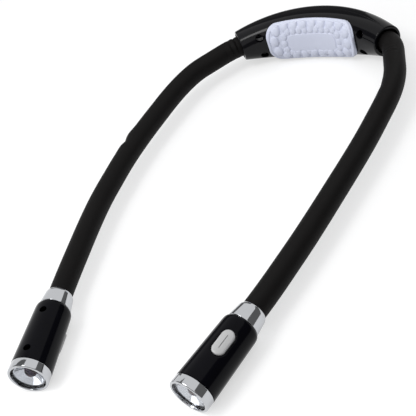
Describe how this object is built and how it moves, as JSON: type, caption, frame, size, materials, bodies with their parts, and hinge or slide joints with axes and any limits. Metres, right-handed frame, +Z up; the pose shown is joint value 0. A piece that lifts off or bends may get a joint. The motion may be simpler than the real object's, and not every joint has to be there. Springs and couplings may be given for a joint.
{
  "type": "neck reading light",
  "caption": "Neck reading light: a curved battery housing with a soft neck pad, and two padded arms that bend and carry lamps with push buttons.",
  "frame": {"origin": "on the flat under the middle of the housing that the light rests on, midway between the mouths of the arms", "axes": "+X towards the arm at the viewer's right in the picture, -Y from the housing towards the lamps, +Z up from the surface the light rests on"},
  "size_m": [0.1866, 0.3412, 0.0334],
  "materials": {
    "housing_black": "satin",
    "pad_white": "satin",
    "sleeve_black": "matte",
    "casing_black": "polished",
    "bright_ring": "polished",
    "button_silver": "satin",
    "screw_steel": "satin",
    "core_aluminium": "satin",
    "contact_nickel": "satin",
    "cell_wrap": "satin",
    "wire_red": "satin",
    "board_white": "satin",
    "led_yellow": "satin",
    "reflector_mirror": "polished",
    "lens_clear": "polished"
  },
  "bodies": {
    "housing": {"outer_shell": "housing_black", "inner_shell": "housing_black", "neck_pad": "pad_white", "housing_screw_1": "screw_steel", "housing_screw_2": "screw_steel", "housing_screw_3": "screw_steel", "housing_screw_4": "screw_steel", "battery_cell_1": "cell_wrap", "battery_cell_2": "cell_wrap", "contact_bridge": "contact_nickel", "contact_positive": "contact_nickel", "contact_negative": "contact_nickel", "left_lead": "wire_red", "right_lead": "wire_red", "left_anchor": "core_aluminium", "right_anchor": "core_aluminium", "left_sleeve_1": "sleeve_black", "right_sleeve_1": "sleeve_black"},
    "door": {"battery_door": "housing_black"},
    "left_arm_2": {"left_sleeve_2": "sleeve_black", "left_core_2": "core_aluminium"},
    "left_arm_3": {"left_sleeve_3": "sleeve_black", "left_core_3": "core_aluminium"},
    "left_arm_4": {"left_sleeve_4": "sleeve_black", "left_core_4": "core_aluminium"},
    "left_lamp": {"left_sleeve_5": "sleeve_black", "left_core_5": "core_aluminium", "left_collar": "bright_ring", "left_bezel": "bright_ring", "left_casing_screw_half": "casing_black", "left_casing_button_half": "casing_black", "left_casing_screw_1": "screw_steel", "left_casing_screw_2": "screw_steel", "left_switch_board": "board_white", "left_led_board": "board_white", "left_led": "led_yellow", "left_reflector": "reflector_mirror", "left_lens": "lens_clear"},
    "left_button_cap": {"left_button": "button_silver"},
    "right_arm_2": {"right_sleeve_2": "sleeve_black", "right_core_2": "core_aluminium"},
    "right_arm_3": {"right_sleeve_3": "sleeve_black", "right_core_3": "core_aluminium"},
    "right_arm_4": {"right_sleeve_4": "sleeve_black", "right_core_4": "core_aluminium"},
    "right_lamp": {"right_sleeve_5": "sleeve_black", "right_core_5": "core_aluminium", "right_collar": "bright_ring", "right_bezel": "bright_ring", "right_casing_screw_half": "casing_black", "right_casing_button_half": "casing_black", "right_casing_screw_1": "screw_steel", "right_casing_screw_2": "screw_steel", "right_switch_board": "board_white", "right_led_board": "board_white", "right_led": "led_yellow", "right_reflector": "reflector_mirror", "right_lens": "lens_clear"},
    "right_button_cap": {"right_button": "button_silver"}
  },
  "joints": [
    {"name": "left_bend_1", "type": "hinge", "parent": "housing", "child": "left_arm_2", "pos_m": [-0.07303, -0.03675, 0.0171], "axis": [0, 0, 1], "range_deg": [-30, 15]},
    {"name": "left_bend_2", "type": "hinge", "parent": "left_arm_2", "child": "left_arm_3", "pos_m": [-0.09347, -0.09696, 0.01608], "axis": [-0.9915, 0.1304, 0], "range_deg": [-25, 30]},
    {"name": "left_bend_3", "type": "hinge", "parent": "left_arm_3", "child": "left_arm_4", "pos_m": [-0.09752, -0.16408, 0.01502], "axis": [0, 0, 1], "range_deg": [-30, 20]},
    {"name": "left_bend_4", "type": "hinge", "parent": "left_arm_4", "child": "left_lamp", "pos_m": [-0.09094, -0.22841, 0.014], "axis": [-0.9879, -0.1548, 0], "range_deg": [-30, 30]},
    {"name": "left_button_press", "type": "slide", "parent": "left_lamp", "child": "left_button_cap", "axis": [-0.4663, -0.1022, 0.8787], "range_m": [0, 0.0008], "stiffness_N_per_m": 1500, "springref_m": -0.0002},
    {"name": "right_bend_1", "type": "hinge", "parent": "housing", "child": "right_arm_2", "pos_m": [0.06718, -0.0394, 0.01711], "axis": [0, 0, 1], "range_deg": [-15, 30]},
    {"name": "right_bend_2", "type": "hinge", "parent": "right_arm_2", "child": "right_arm_3", "pos_m": [0.07238, -0.10087, 0.01609], "axis": [-0.9967, 0.0806, 0], "range_deg": [-25, 30]},
    {"name": "right_bend_3", "type": "hinge", "parent": "right_arm_3", "child": "right_arm_4", "pos_m": [0.06456, -0.16522, 0.01504], "axis": [0, 0, 1], "range_deg": [-20, 30]},
    {"name": "right_bend_4", "type": "hinge", "parent": "right_arm_4", "child": "right_lamp", "pos_m": [0.05432, -0.2267, 0.01402], "axis": [-0.9818, 0.1902, 0], "range_deg": [-30, 30]},
    {"name": "right_button_press", "type": "slide", "parent": "right_lamp", "child": "right_button_cap", "axis": [-0.3831, 0.1116, -0.9169], "range_m": [0, 0.0008], "stiffness_N_per_m": 1500, "springref_m": -0.0002},
    {"name": "battery_door_slide", "type": "slide", "parent": "housing", "child": "door", "axis": [0, 0.9976, -0.0698], "range_m": [0, 0.012]}
  ]
}
